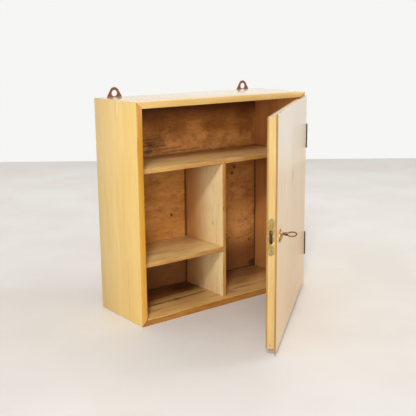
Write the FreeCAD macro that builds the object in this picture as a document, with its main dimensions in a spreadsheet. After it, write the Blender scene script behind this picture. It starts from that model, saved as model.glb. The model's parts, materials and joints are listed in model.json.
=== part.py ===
"""A mitred wall cabinet with a lipped, locking door that stands open, drawn in millimetres.

The origin is the middle of the carcass's base, the front faces -Y and the door hangs on the right.
The door's pieces are drawn with the door shut and then turned about the hinge pins.
"""
import FreeCAD
import Part
import Sketcher
import os
import re

Vector = FreeCAD.Vector
Rotation = FreeCAD.Rotation

SIZES = {
    # Carcass
    "width": 445,
    "height": 450,
    "depth": 160,
    "wall": 13,
    "rebate_width": 6.5,
    "back_thick": 5,
    "back_inset": 1.5,
    "shelf_thick": 10,
    "shelf_clearance": 2.8,
    "upper_shelf_height": 306.5,
    "lower_shelf_height": 114.5,
    "divider_offset": 5,
    "housing_depth": 4,
    "tongue_thick": 3,
    "tongue_width": 8,
    "tongue_setback": 12,
    # Nails of the back panel
    "nail_radius": 0.9,
    "nail_length": 16,
    "nail_point_length": 3,
    "nail_head_radius": 1.8,
    "nail_head_thick": 0.6,
    "nail_margin": 3.2,
    # Hangers
    "hanger_inset": 48,
    "hanger_width": 36,
    "hanger_thick": 1.5,
    "hanger_drop": 12,
    "hanger_radius": 11,
    "hanger_rise": 9,
    "eye_radius": 6.5,
    "eye_height": 7.5,
    "hanger_screw_offset": 12,
    "hanger_screw_length": 12,
    # Countersunk screws, the larger ones for the hinges
    "hinge_screw_radius": 1.5,
    "hinge_screw_head_radius": 2.75,
    "hinge_screw_sink": 1.2,
    "hinge_screw_length": 14,
    "plate_screw_radius": 1.3,
    "plate_screw_head_radius": 2.4,
    "plate_screw_sink": 1.2,
    "screw_point_length": 4,
    "point_radius": 0.2,
    # Door
    "door_open_angle": 38.8,
    "face_thick": 3.5,
    "core_thick": 13.5,
    "inner_thick": 3,
    "lip_gap": 0.3,
    "lip_overlap": 4,
    "door_clearance": 2,
    "stile_width": 50,
    "rail_width": 40,
    "tenon_length": 10,
    "tenon_thick": 4.5,
    "tenon_shoulder": 6,
    # Hinges
    "hinge_inset": 100,
    "hinge_length": 53,
    "barrel_radius": 2.5,
    "barrel_gap": 0.3,
    "leaf_thick": 1.2,
    "leaf_gap": 0.3,
    "leaf_notch": 0.5,
    "neck_gap": 0.5,
    "leg_gap": 0.8,
    "leg_margin": 0.2,
    "leg_screw_inset": 7,
    "knuckle_gap": 0.25,
    "pin_radius": 1.25,
    "pin_clearance": 0.05,
    "pin_head_radius": 1.9,
    "pin_head_thick": 1.2,
    "hinge_screw_offset": 17,
    # Lock
    "lock_height": 224,
    "backset": 30,
    "case_height": 42,
    "case_thick": 9,
    "case_sheet": 1.2,
    "faceplate_length": 68,
    "faceplate_width": 13,
    "faceplate_thick": 2,
    "faceplate_screw_offset": 28,
    "faceplate_screw_length": 14,
    "bolt_throw": 9,
    "bolt_height": 24.6,
    "bolt_side_gap": 0.6,
    "bolt_clearance": 0.2,
    "bolt_sink": 0.8,
    "bolt_head_length": 12.7,
    "tail_thick": 3,
    "tail_rise": 3.2,
    "tail_end": 3,
    "tail_gap": 1.9,
    "talon_width": 8.8,
    "stud_inset": 18,
    "stud_radius": 1.5,
    "stud_clearance": 0.3,
    "spring_inset": 28,
    "spring_radius": 13,
    "spring_thick": 0.5,
    "spring_width": 4,
    "spring_gap": 0.3,
    # Strike plate
    "strike_length": 50,
    "strike_width": 12,
    "strike_thick": 1.2,
    "strike_slot_margin": 0.6,
    "strike_slot_depth": 8,
    "strike_screw_offset": 19,
    "strike_screw_length": 9,
    # Escutcheon
    "escutcheon_radius": 13,
    "escutcheon_drop": 4,
    "escutcheon_sheet": 0.8,
    "dome_radius": 10.5,
    "dome_rise": 4.5,
    "escutcheon_pin_radius": 0.5,
    "escutcheon_pin_head_radius": 0.9,
    "escutcheon_pin_head_thick": 0.5,
    "escutcheon_pin_length": 8,
    "escutcheon_pin_inset": 1.2,
    "keyhole_radius": 3.2,
    "keyhole_slot_width": 3,
    "keyhole_slot_length": 9,
    # Key
    "key_rest_angle": 14,
    "shank_radius": 2.5,
    "shank_reach": 13.5,
    "tip_radius": 2,
    "tip_clearance": 0.05,
    "bit_radius": 8,
    "bit_thick": 2.4,
    "bit_side_gap": 0.8,
    "bit_gap": 0.8,
    "ward_width": 1.2,
    "ward_depth": 2.2,
    "collar_radius": 3.6,
    "collar_length": 2.4,
    "bow_radius": 8.2,
    "bow_wire_radius": 1.2,
    # How far a cutting block runs past the face that it opens
    "overrun": 1,
}

KNUCKLE_COUNT = 3
SCREW_SIDES = 12
NAIL_SIDES = 4
TURNED_SIDES = 24
ROW_NAIL_SHARES = (-0.55, -0.18, 0.18, 0.55)
SIDE_NAIL_SHARES = (0.12, 0.5, 0.88)
# Radius and height of the escutcheon's dome, from its flat top to its foot
DOME_SHARES = ((0.42, 1), (0.8, 0.62), (1, 0))

# Places that follow from the sizes, each an expression in sizes and other places.
PLACES = {
    "left": "-width / 2",
    "right": "width / 2",
    "front": "-depth / 2",
    "rear": "depth / 2",
    "inner_left": "left + wall",
    "inner_right": "right - wall",
    "inner_top": "height - wall",
    "panel_inset": "wall - rebate_width",
    "panel_rear": "rear - back_inset",
    "panel_front": "panel_rear - back_thick",
    "shelf_front": "door_back + shelf_clearance",
    "divider_left": "divider_offset - shelf_thick / 2",
    "divider_right": "divider_offset + shelf_thick / 2",
    "tongue_long": "(tongue_width + tongue_thick) / 2 * sqrt(1 / 2)",
    "tongue_short": "(tongue_width - tongue_thick) / 2 * sqrt(1 / 2)",
    "eye_tangent": "acos(hanger_radius / hypot(hanger_width / 2; hanger_rise))"
                   " - atan(hanger_rise / (hanger_width / 2))",
    "face_back": "front - lip_gap",
    "face_front": "face_back - face_thick",
    "core_back": "face_back + core_thick",
    "door_back": "core_back + inner_thick",
    "lip_inset": "wall - lip_overlap",
    "free_edge": "inner_left + door_clearance",
    "hinge_edge": "inner_right - leg_gap - leaf_thick",
    "door_low": "wall + door_clearance",
    "door_high": "height - wall - door_clearance",
    "lock_stile_end": "free_edge + stile_width",
    "hinge_stile_end": "hinge_edge - stile_width",
    "core_middle": "(face_back + core_back) / 2",
    "hinge_x": "right + barrel_gap + barrel_radius",
    "hinge_y": "face_front",
    "notch_edge": "right - leaf_notch",
    "neck_edge": "right + neck_gap + leaf_thick",
    "knuckle": f"(hinge_length - {KNUCKLE_COUNT - 1} * knuckle_gap) / {KNUCKLE_COUNT}",
    "lock_middle": "(face_back + door_back) / 2",
    "case_front": "lock_middle - case_thick / 2",
    "case_back": "lock_middle + case_thick / 2",
    "case_start": "free_edge + faceplate_thick",
    "case_low": "lock_height - case_height / 2",
    "case_high": "lock_height + case_height / 2",
    "case_room": "case_thick - 2 * case_sheet",
    "key_x": "free_edge + backset",
    "talon_x": "key_x + bolt_throw / 2",
    "tail_stop": "talon_x + talon_width / 2 + tail_end",
    "case_end": "tail_stop + tail_gap + case_sheet",
    "bolt_thick": "case_room - 2 * bolt_side_gap",
    "bolt_head_start": "free_edge + bolt_sink",
    "bolt_head_stop": "bolt_head_start + bolt_head_length",
    "tail_low": "lock_height + tail_rise",
    "tail_high": "lock_height + bolt_height / 2",
    "stud_x": "free_edge + stud_inset",
    "stud_z": "(tail_low + tail_high) / 2",
    "stud_room": "stud_radius + stud_clearance",
    "spring_x": "free_edge + spring_inset",
    "spring_z": "tail_high + spring_gap + spring_radius",
    "bit_width": "case_room - 2 * bit_side_gap",
    "escutcheon_z": "lock_height - escutcheon_drop",
    "bow_corner": "bow_wire_radius * tan(45 / 2)",
    "shank_end": "face_front - shank_reach",
}

doc = FreeCAD.newDocument("wall_cabinet")
sheet = doc.addObject("Spreadsheet::Sheet", "sizes")
for row, (size_name, value) in enumerate(SIZES.items(), start=1):
    sheet.set(f"A{row}", size_name)
    sheet.set(f"B{row}", str(value))
    sheet.setAlias(f"B{row}", size_name)
doc.recompute()

nodes = {}


def words(text):
    """The expression with its places spelled out and its sizes read from the sheet."""
    def swap(match):
        word = match.group(0)
        if word in PLACES:
            return f"({words(PLACES[word])})"
        return f"sizes.{word}" if word in SIZES else word
    return re.sub(r"[a-z_]+", swap, text)


def bind(part, what, text):
    """Tie one of the part's properties to an expression."""
    part.setExpression(what, words(text))


def bind_base(part, **places):
    """Tie the part's base point, axis by axis."""
    for axis, text in places.items():
        bind(part, f"Placement.Base.{axis}", text)


def keep(name, part):
    """Make the part a finished sub-part under its own label."""
    part.Label = name
    nodes[name] = part
    return part


def box(name, x, y, z):
    """A block between three pairs of planes."""
    part = doc.addObject("Part::Box", name)
    for side, axis, (low, high) in (("Length", "x", x), ("Width", "y", y), ("Height", "z", z)):
        bind(part, side, f"({high}) - ({low})")
        bind(part, f"Placement.Base.{axis}", low)
    return part


AXIS_TURNS = {
    "x": Rotation(Vector(0, 1, 0), 90),
    "y": Rotation(Vector(1, 0, 0), -90),
    "z": Rotation(),
}


def stand(part, axis, at, start):
    """Stand a round primitive on the plane start of its axis, at the other two coordinates."""
    part.Placement = FreeCAD.Placement(Vector(), AXIS_TURNS[axis])
    across = [other for other in "xyz" if other != axis]
    bind_base(part, **dict(zip(across, at)), **{axis: start})


def rod(name, axis, at, span, radius):
    """A cylinder along an axis, over the span."""
    part = doc.addObject("Part::Cylinder", name)
    stand(part, axis, at, span[0])
    bind(part, "Radius", radius)
    bind(part, "Height", f"({span[1]}) - ({span[0]})")
    return part


def stud(name, axis, at, span, radius, sides):
    """A faceted rod along an axis, over the span."""
    part = doc.addObject("Part::Prism", name)
    stand(part, axis, at, span[0])
    part.Polygon = sides
    bind(part, "Circumradius", radius)
    bind(part, "Height", f"({span[1]}) - ({span[0]})")
    return part


def spike(name, axis, at, stations, sides):
    """A faceted shank along an axis through stations of place and radius, in rising order."""
    sections = []
    for number, (place, radius) in enumerate(stations):
        section = doc.addObject("Part::RegularPolygon", f"{name}_section_{number}")
        stand(section, axis, at, place)
        section.Polygon = sides
        bind(section, "Circumradius", radius)
        sections.append(section)
    part = doc.addObject("Part::Loft", name)
    part.Sections = sections
    part.Solid = True
    part.Ruled = True
    part.Linearize = True
    return part


def fuse(name, *parts):
    """One solid from overlapping or touching parts."""
    part = doc.addObject("Part::MultiFuse", name)
    part.Shapes = list(parts)
    part.Refine = True
    return part


def group(name, parts):
    """Separate solids kept together."""
    part = doc.addObject("Part::Compound", name)
    part.Links = list(parts)
    return part


def cut(name, base, *tools):
    """The base less all the tools."""
    part = doc.addObject("Part::Cut", name)
    part.Base = base
    part.Tool = tools[0] if len(tools) == 1 else fuse(f"{name}_room", *tools)
    return part


def outline(body, corners):
    """A closed sketch of straight lines on the body's XZ plane, each corner tied to its sizes."""
    sketch = body.newObject("Sketcher::SketchObject", f"{body.Name}_outline")
    plane = next(item for item in body.Origin.OriginFeatures if item.Role == "XZ_Plane")
    sketch.AttachmentSupport = [(plane, "")]
    sketch.MapMode = "FlatFace"
    points = [Vector(*(sheet.evalExpression(words(text)) for text in corner)) for corner in corners]
    for start, end in zip(points, points[1:] + points[:1]):
        sketch.addGeometry(Part.LineSegment(start, end), False)
    for line in range(len(points)):
        following = (line + 1) % len(points)
        sketch.addConstraint(Sketcher.Constraint("Coincident", line, 2, following, 1))
    for line, (corner, point) in enumerate(zip(corners, points)):
        for kind, text, value in zip(("DistanceX", "DistanceY"), corner, point):
            place = sketch.addConstraint(Sketcher.Constraint(kind, -1, 1, line, 1, value))
            bind(sketch, f"Constraints[{place}]", text)
    return sketch


def prism(name, corners, span):
    """A body with an outline in the XZ plane, padded over a span along Y."""
    body = doc.addObject("PartDesign::Body", name)
    sketch = outline(body, corners)
    # The plane's normal points to -Y, so the pad runs from the far end of the span to the near one.
    bind(sketch, "AttachmentOffset.Base.z", f"-({span[1]})")
    pad = body.newObject("PartDesign::Pad", f"{name}_pad")
    pad.Profile = sketch
    bind(pad, "Length", f"({span[1]}) - ({span[0]})")
    return body


def screw(name, axis, at, head, into, kind, length):
    """A countersunk screw, flush at head, whose point goes up (1) or down (-1) its axis."""
    stations = [
        (head, f"{kind}_head_radius"),
        (f"{head} + ({into}) * {kind}_sink", f"{kind}_radius"),
        (f"{head} + ({into}) * ({length} - screw_point_length)", f"{kind}_radius"),
        (f"{head} + ({into}) * {length}", "point_radius"),
    ]
    return spike(name, axis, at, stations[::into], SCREW_SIDES)


def in_door(name, form):
    """The finished piece of the door, turned about the hinge pins from where it was drawn."""
    part = group(name, [form])
    part.Placement = FreeCAD.Placement(Vector(), Rotation(Vector(0, 0, 1), SIZES["door_open_angle"]))
    bind(part, "Placement.Rotation.Angle", "door_open_angle")
    bind_base(
        part,
        x="hinge_x - hinge_x * cos(door_open_angle) + hinge_y * sin(door_open_angle)",
        y="hinge_y - hinge_x * sin(door_open_angle) - hinge_y * cos(door_open_angle)",
    )
    return keep(name, part)


def shelves_and_divider():
    """The upper shelf right across, the divider under it and the lower shelf left of the divider."""
    run = ("shelf_front", "panel_front")
    upper = box(
        "upper_shelf_board",
        ("inner_left - housing_depth", "inner_right + housing_depth"),
        run,
        ("upper_shelf_height", "upper_shelf_height + shelf_thick"),
    )
    divider = box(
        "divider_board",
        ("divider_left", "divider_right"),
        run,
        ("wall - housing_depth", "upper_shelf_height + housing_depth"),
    )
    lower = box(
        "lower_shelf_board",
        ("inner_left - housing_depth", "divider_left + housing_depth"),
        run,
        ("lower_shelf_height", "lower_shelf_height + shelf_thick"),
    )
    keep("upper_shelf", cut("upper_shelf", upper, divider))
    keep("divider", cut("divider", divider, lower))
    keep("lower_shelf", lower)
    return upper, divider, lower


def back_of_carcass():
    """The back panel and the nails that hold it in the boards' rebates."""
    sides = ("left + panel_inset", "right - panel_inset")
    ends = ("panel_inset", "height - panel_inset")
    board = box("back_board", sides, ("panel_front", "panel_rear"), ends)
    room = box("back_room", sides, ("panel_front", "rear + overrun"), ends)
    reach = "panel_inset + nail_margin"
    spots = []
    for row in (reach, f"height - ({reach})"):
        spots += [(f"{share} * width / 2", row) for share in ROW_NAIL_SHARES]
    for column in (f"left + {reach}", f"right - ({reach})"):
        spots += [(column, f"{share} * height") for share in SIDE_NAIL_SHARES]
    nails = []
    point = "panel_rear - nail_length"
    stations = [(point, "point_radius"), (f"{point} + nail_point_length", "nail_radius"),
                ("panel_rear", "nail_radius")]
    head = ("panel_rear", "panel_rear + nail_head_thick")
    for number, spot in enumerate(spots):
        nails.append(fuse(
            f"nail_{number}",
            spike(f"nail_{number}_shank", "y", spot, stations, NAIL_SIDES),
            stud(f"nail_{number}_head", "y", spot, head, "nail_head_radius", NAIL_SIDES),
        ))
    nail_group = keep("back_panel_nails", group("back_panel_nails", nails))
    keep("back_panel", cut("back_panel", board, nail_group))
    return room, nail_group


def tongues():
    """Loose tongues across the four mitres, drawn once and repeated at the corners."""
    strips = []
    for side, x, turn in (("left", "left + wall / 2", 1), ("right", "right - wall / 2", -1)):
        for level, z, lean in (("low", "wall / 2", -1), ("high", "height - wall / 2", 1)):
            slope = turn * lean
            corners = [
                (f"{x} - tongue_long", f"{z} + ({slope}) * -tongue_short"),
                (f"{x} - tongue_short", f"{z} + ({slope}) * -tongue_long"),
                (f"{x} + tongue_long", f"{z} + ({slope}) * tongue_short"),
                (f"{x} + tongue_short", f"{z} + ({slope}) * tongue_long"),
            ]
            strips.append(prism(
                f"tongue_{side}_{level}", corners, ("front + tongue_setback", "rear - tongue_setback"),
            ))
    return keep("mitre_tongues", group("mitre_tongues", strips))


def hanger_plate(side, sign):
    """A hanging plate with an eye, let into the rear of the top board, and its two screws."""
    middle = f"({sign}) * (right - hanger_inset)"
    eye = "height + hanger_rise"
    plane = ("rear - hanger_thick", "rear")
    outline = [
        (f"{middle} - hanger_width / 2", "height - hanger_drop"),
        (f"{middle} + hanger_width / 2", "height - hanger_drop"),
        (f"{middle} + hanger_width / 2", "height"),
        (f"{middle} + hanger_radius * cos(eye_tangent)", f"{eye} + hanger_radius * sin(eye_tangent)"),
        (f"{middle} - hanger_radius * cos(eye_tangent)", f"{eye} + hanger_radius * sin(eye_tangent)"),
        (f"{middle} - hanger_width / 2", "height"),
    ]
    plate = fuse(
        f"{side}_hanger_plate",
        prism(f"{side}_hanger_foot", outline, plane),
        rod(f"{side}_hanger_top", "y", (middle, eye), plane, "hanger_radius"),
    )
    hole = rod(
        f"{side}_hanger_eye", "y", (middle, "height + eye_height"),
        ("rear - hanger_thick - overrun", "rear + overrun"), "eye_radius",
    )
    screws = [
        screw(f"{side}_hanger_screw_{end}", "y", (f"{middle} + ({end}) * hanger_screw_offset",
              "height - panel_inset / 2"), "rear", -1, "plate_screw", "hanger_screw_length")
        for end in (-1, 1)
    ]
    keep(f"{side}_hanger", cut(f"{side}_hanger", plate, hole, *screws))
    return plate, screws


def hinge(name, middle):
    """A cranked hinge with its barrel beside the lip; returns the parts that the wood makes room for."""
    low = f"{middle} - hinge_length / 2"
    high = f"{middle} + hinge_length / 2"
    leaf_face = "face_back + leaf_thick + leaf_gap"
    axis = ("hinge_x", "hinge_y")
    carcass_screws = []
    door_screws = []
    for step in (-1, 1):
        height = f"{middle} + ({step}) * hinge_screw_offset"
        carcass_screws.append(screw(
            f"{name}_carcass_screw_{step}", "y", ("right - wall / 2", height), leaf_face, 1,
            "hinge_screw", "hinge_screw_length",
        ))
        door_screws.append(screw(
            f"{name}_door_screw_{step}", "x", ("face_back + leg_screw_inset", height),
            "hinge_edge + leaf_thick", -1, "hinge_screw", "hinge_screw_length",
        ))
    seats = {
        "carcass": (leaf_face, f"{leaf_face} + leaf_thick"),
        "door": ("face_back", "face_back + leaf_thick"),
    }
    length = (low, high)
    plates = {
        "carcass": [box(f"{name}_carcass_plate", ("inner_right", "notch_edge"), seats["carcass"], length)],
        "door": [box(f"{name}_door_plate", ("hinge_edge", "notch_edge"), seats["door"], length),
                 box(f"{name}_door_leg", ("hinge_edge", "hinge_edge + leaf_thick"),
                     ("face_back", "core_back - leg_margin"), length)],
    }
    for number in range(KNUCKLE_COUNT):
        leaf = "door" if number % 2 else "carcass"
        start = f"{low} + {number} * (knuckle + knuckle_gap)"
        span = (start, f"{start} + knuckle")
        plates[leaf] += [
            box(f"{name}_root_{number}", ("notch_edge", "neck_edge"), seats[leaf], span),
            box(f"{name}_neck_{number}", ("neck_edge - leaf_thick", "neck_edge"),
                ("hinge_y", seats[leaf][1]), span),
            rod(f"{name}_knuckle_{number}", "z", axis, span, "barrel_radius"),
        ]
    bores = {"carcass": "pin_radius", "door": "pin_radius + pin_clearance"}
    forms = {}
    for leaf, screws in (("carcass", carcass_screws), ("door", door_screws)):
        bore = rod(f"{name}_{leaf}_bore", "z", axis,
                   (f"{low} - overrun", f"{high} + overrun"), bores[leaf])
        solid = fuse(f"{name}_{leaf}_solid", *plates[leaf])
        forms[leaf] = cut(f"{name}_{leaf}_form", solid, bore, *screws)
    keep(f"{name}_carcass_leaf", forms["carcass"])
    in_door(f"{name}_door_leaf", forms["door"])
    keep(f"{name}_pin", fuse(
        f"{name}_pin",
        rod(f"{name}_pin_shank", "z", axis, (low, high), "pin_radius"),
        rod(f"{name}_pin_head", "z", axis, (high, f"{high} + pin_head_thick"),
            "pin_head_radius"),
    ))
    recess = box(f"{name}_recess", ("inner_right - overrun", "right + overrun"),
                 ("front - overrun", f"{leaf_face} + leaf_thick"), (low, high))
    return recess, carcass_screws, door_screws


def strike():
    """The strike plate in the left side, its screws and the slot behind it."""
    middle = ("lock_middle", "lock_height")
    y = ("lock_middle - strike_width / 2", "lock_middle + strike_width / 2")
    z = ("lock_height - strike_length / 2", "lock_height + strike_length / 2")
    plate = box("strike_blank", ("inner_left - strike_thick", "inner_left"), y, z)
    half_width = "(bolt_thick / 2 + bolt_clearance + strike_slot_margin)"
    half_height = "(bolt_height / 2 + bolt_clearance + strike_slot_margin)"
    slot = box(
        "strike_slot", ("inner_left - strike_slot_depth", "inner_left + overrun"),
        (f"{middle[0]} - {half_width}", f"{middle[0]} + {half_width}"),
        (f"{middle[1]} - {half_height}", f"{middle[1]} + {half_height}"),
    )
    screws = [
        screw(f"strike_screw_{end}", "x", (middle[0], f"{middle[1]} + ({end}) * strike_screw_offset"),
              "inner_left", -1, "plate_screw", "strike_screw_length")
        for end in (-1, 1)
    ]
    keep("strike_screws", group("strike_screws", screws))
    keep("strike_plate", cut("strike_plate", plate, slot, *screws))
    return [plate, slot, *screws]


def carcass_boards(shelves, back_room, nails, tongue_group, hanger_parts, hinge_parts, strike_parts):
    """The four mitred boards, each cut for what is let into it."""
    run = ("front", "rear")
    outer = {"low_left": ("left", "0"), "low_right": ("right", "0"),
             "high_left": ("left", "height"), "high_right": ("right", "height")}
    inner = {"low_left": ("inner_left", "wall"), "low_right": ("inner_right", "wall"),
             "high_left": ("inner_left", "inner_top"), "high_right": ("inner_right", "inner_top")}
    upper, divider, lower = shelves
    rooms = {
        "left_side_panel": ("low_left", "high_left", [upper, lower, *strike_parts]),
        "right_side_panel": ("low_right", "high_right", [upper, *hinge_parts]),
        "top_panel": ("high_left", "high_right", hanger_parts),
        "bottom_panel": ("low_left", "low_right", [divider]),
    }
    for name, (start, end, tools) in rooms.items():
        corners = [outer[start], outer[end], inner[end], inner[start]]
        board = prism(f"{name}_board", corners, run)
        keep(name, cut(name, board, back_room, nails, tongue_group, *tools))


def door_leaf(lock_room, keyhole, hinge_screws, pins):
    """The door: a thin face with a lip, a tenoned core frame and an inner sheet."""
    core = ("face_back", "core_back")
    upright = ("door_low", "door_high")
    face = box("door_face_board", ("left + lip_inset", "right"), ("face_front", "face_back"),
               ("lip_inset", "height - lip_inset"))
    sheet_board = box("door_inner_board", ("free_edge", "hinge_edge"), ("core_back", "door_back"), upright)
    lock_stile = box("lock_stile_board", ("free_edge", "lock_stile_end"), core, upright)
    hinge_stile = box("hinge_stile_board", ("hinge_stile_end", "hinge_edge"), core, upright)
    tenon = ("core_middle - tenon_thick / 2", "core_middle + tenon_thick / 2")
    rails = []
    for level, low, high in (("top", "door_high - rail_width", "door_high"),
                             ("bottom", "door_low", "door_low + rail_width")):
        rail = fuse(
            f"door_{level}_rail_board",
            box(f"{level}_rail_body", ("lock_stile_end", "hinge_stile_end"), core, (low, high)),
            box(f"{level}_rail_tenons",
                ("lock_stile_end - tenon_length", "hinge_stile_end + tenon_length"),
                tenon, (f"{low} + tenon_shoulder", f"{high} - tenon_shoulder")),
        )
        in_door(f"door_{level}_rail", rail)
        rails.append(rail)
    in_door("door_face_panel", cut("door_face_form", face, keyhole, *pins))
    in_door("door_inner_panel", cut("door_inner_form", sheet_board, *lock_room))
    in_door("door_lock_stile", cut("lock_stile_form", lock_stile, *lock_room, keyhole, *pins, *rails))
    in_door("door_hinge_stile", cut("hinge_stile_form", hinge_stile, *hinge_screws, *rails))


def keyhole_room():
    """A round hole with a slot below it, from the escutcheon to the inside of the lock case."""
    depth = ("face_front - dome_rise - overrun", "case_front + case_sheet + overrun")
    return fuse(
        "keyhole",
        rod("keyhole_round", "y", ("key_x", "lock_height"), depth, "keyhole_radius"),
        box("keyhole_slot", ("key_x - keyhole_slot_width / 2", "key_x + keyhole_slot_width / 2"), depth,
            ("lock_height - keyhole_slot_length", "lock_height")),
    )


def escutcheon(keyhole):
    """A domed plate round the keyhole, and the two pins in its rim."""
    seat = "face_front - escutcheon_sheet"
    middle = ("key_x", "escutcheon_z")
    outside = []
    inside = []
    for wide, tall in DOME_SHARES:
        rise = f"{tall} * (dome_rise - escutcheon_sheet)"
        outside.append((f"{seat} - {rise}", f"{wide} * dome_radius"))
        inside.append((f"face_front - {rise}", f"{wide} * dome_radius - escutcheon_sheet"))
    rim = stud("escutcheon_rim", "y", middle, (seat, "face_front"), "escutcheon_radius", TURNED_SIDES)
    dome = spike("escutcheon_dome", "y", middle, outside, TURNED_SIDES)
    hollow = spike("escutcheon_hollow", "y", middle, inside, TURNED_SIDES)
    plate = fuse("escutcheon_plate", rim, dome)
    point = f"{seat} + escutcheon_pin_length"
    pins = []
    for side in (-1, 1):
        name = f"escutcheon_pin_{side}"
        spot = (f"key_x + ({side}) * (escutcheon_radius - escutcheon_pin_inset)", "escutcheon_z")
        pins.append(fuse(
            name,
            stud(f"{name}_head", "y", spot, (f"{seat} - escutcheon_pin_head_thick", seat),
                 "escutcheon_pin_head_radius", SCREW_SIDES),
            spike(f"{name}_shank", "y", spot, [(seat, "escutcheon_pin_radius"), (point, "point_radius")],
                  SCREW_SIDES),
        ))
    in_door("escutcheon", cut("escutcheon_form", plate, hollow, keyhole, *pins))
    in_door("escutcheon_pins", group("escutcheon_pin_pair", pins))
    return pins


def lock(keyhole):
    """Faceplate, case, cap, spring and bolt; returns the room that the wood gives them."""
    case_x = ("case_start", "case_end")
    case_z = ("case_low", "case_high")
    cap_start = "case_back - case_sheet"
    plate_y = ("lock_middle - faceplate_width / 2", "lock_middle + faceplate_width / 2")
    round_low = "lock_height - (faceplate_length - faceplate_width) / 2"
    round_high = "lock_height + (faceplate_length - faceplate_width) / 2"
    plate_x = ("free_edge", "case_start")
    blank = fuse(
        "faceplate_blank",
        box("faceplate_middle", plate_x, plate_y, (round_low, round_high)),
        rod("faceplate_low_end", "x", ("lock_middle", round_low), plate_x, "faceplate_width / 2"),
        rod("faceplate_high_end", "x", ("lock_middle", round_high), plate_x, "faceplate_width / 2"),
    )
    slot = box(
        "faceplate_slot", ("free_edge - overrun", "case_start + overrun"),
        ("lock_middle - bolt_thick / 2 - bolt_clearance", "lock_middle + bolt_thick / 2 + bolt_clearance"),
        ("lock_height - bolt_height / 2 - bolt_clearance", "lock_height + bolt_height / 2 + bolt_clearance"),
    )
    screws = [
        screw(f"faceplate_screw_{end}", "x",
              ("lock_middle", f"lock_height + ({end}) * faceplate_screw_offset"),
              "free_edge", 1, "plate_screw", "faceplate_screw_length")
        for end in (-1, 1)
    ]
    in_door("lock_faceplate", cut("faceplate_form", blank, slot, *screws))
    in_door("faceplate_screws", group("faceplate_screw_pair", screws))

    tray = cut(
        "case_tray",
        box("case_outside", case_x, ("case_front", cap_start), case_z),
        box("case_inside", ("case_start - overrun", "case_end - case_sheet"),
            ("case_front + case_sheet", "case_back + overrun"),
            ("case_low + case_sheet", "case_high - case_sheet")),
        keyhole,
    )
    stud = rod("case_stud", "y", ("stud_x", "stud_z"), ("case_front + case_sheet", cap_start), "stud_radius")
    in_door("lock_case", fuse("case_form", tray, stud))
    cap = box("cap_sheet", case_x, (cap_start, "case_back"), case_z)
    tip_hole = rod("cap_bore", "y", ("key_x", "lock_height"),
                   (f"{cap_start} - overrun", "case_back + overrun"), "tip_radius + tip_clearance")
    in_door("lock_cap", cut("cap_form", cap, tip_hole))

    ring_y = ("lock_middle - spring_width / 2", "lock_middle + spring_width / 2")
    ring = cut(
        "spring_ring",
        rod("spring_outside", "y", ("spring_x", "spring_z"), ring_y, "spring_radius"),
        rod("spring_inside", "y", ("spring_x", "spring_z"), ring_y, "spring_radius - spring_thick"),
    )
    bow = doc.addObject("Part::Common", "spring_form")
    bow.Base = ring
    bow.Tool = box("spring_room", ("case_start", "case_end"), ring_y, ("case_low", "case_high - case_sheet"))
    in_door("bolt_spring", bow)
    return [blank, *screws, box("lock_mortise", case_x, ("case_front", "case_back"), case_z)]


def bolt():
    """The sliding bolt: a head in the faceplate's slot and a tail with the talon that the key moves."""
    head = box(
        "bolt_head", ("bolt_head_start", "bolt_head_stop"),
        ("lock_middle - bolt_thick / 2", "lock_middle + bolt_thick / 2"),
        ("lock_height - bolt_height / 2", "tail_high"),
    )
    tail_y = ("lock_middle - tail_thick / 2", "lock_middle + tail_thick / 2")
    tail = box("bolt_tail", ("bolt_head_stop", "tail_stop"), tail_y, ("tail_low", "tail_high"))
    cut_y = (f"{tail_y[0]} - overrun", f"{tail_y[1]} + overrun")
    talon = box("bolt_talon", ("talon_x - talon_width / 2", "talon_x + talon_width / 2"), cut_y,
                ("tail_low - overrun", "lock_height + bit_radius + bit_gap"))
    guide = fuse(
        "bolt_guide",
        rod("bolt_guide_near", "y", ("stud_x", "stud_z"), cut_y, "stud_room"),
        rod("bolt_guide_far", "y", ("stud_x + bolt_throw", "stud_z"), cut_y, "stud_room"),
        box("bolt_guide_middle", ("stud_x", "stud_x + bolt_throw"), cut_y,
            ("stud_z - stud_room", "stud_z + stud_room")),
    )
    in_door("lock_bolt", cut("bolt_form", fuse("bolt_blank", head, tail), talon, guide))


def key():
    """The key, drawn about its own axis with the bit to the hinge side, then turned and set in the lock."""
    own_axis = ("0", "0")
    bit_y = ("lock_middle - bit_width / 2", "lock_middle + bit_width / 2")
    bit = cut(
        "key_bit",
        box("bit_blank", ("0", "bit_radius"), bit_y, ("-bit_thick / 2", "bit_thick / 2")),
        box("bit_ward", ("bit_radius - ward_depth", "bit_radius + overrun"),
            ("lock_middle - ward_width / 2", "lock_middle + ward_width / 2"), ("-bit_thick", "bit_thick")),
    )
    bow_middle = ("0", "shank_end - bow_radius")
    wire = "bow_wire_radius"
    steps = ((f"-{wire}", "bow_corner"), ("-bow_corner", wire), ("bow_corner", wire), (wire, "bow_corner"))
    bow = cut(
        "key_bow",
        spike("bow_disc", "z", bow_middle, [(up, f"bow_radius + {out}") for up, out in steps], TURNED_SIDES),
        spike("bow_eye", "z", bow_middle, [(up, f"bow_radius - {out}") for up, out in steps], TURNED_SIDES),
    )
    form = fuse(
        "key_form",
        rod("key_shank", "y", own_axis, ("shank_end", bit_y[1]), "shank_radius"),
        rod("key_tip", "y", own_axis, (bit_y[1], "case_back"), "tip_radius"),
        rod("key_collar", "y", own_axis, ("shank_end", "shank_end + collar_length"), "collar_radius"),
        bit,
        bow,
    )
    in_lock = group("key_in_lock", [form])
    in_lock.Placement = FreeCAD.Placement(Vector(), Rotation(Vector(0, -1, 0), SIZES["key_rest_angle"]))
    bind(in_lock, "Placement.Rotation.Angle", "key_rest_angle")
    bind_base(in_lock, x="key_x", z="lock_height")
    in_door("key", in_lock)


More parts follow.
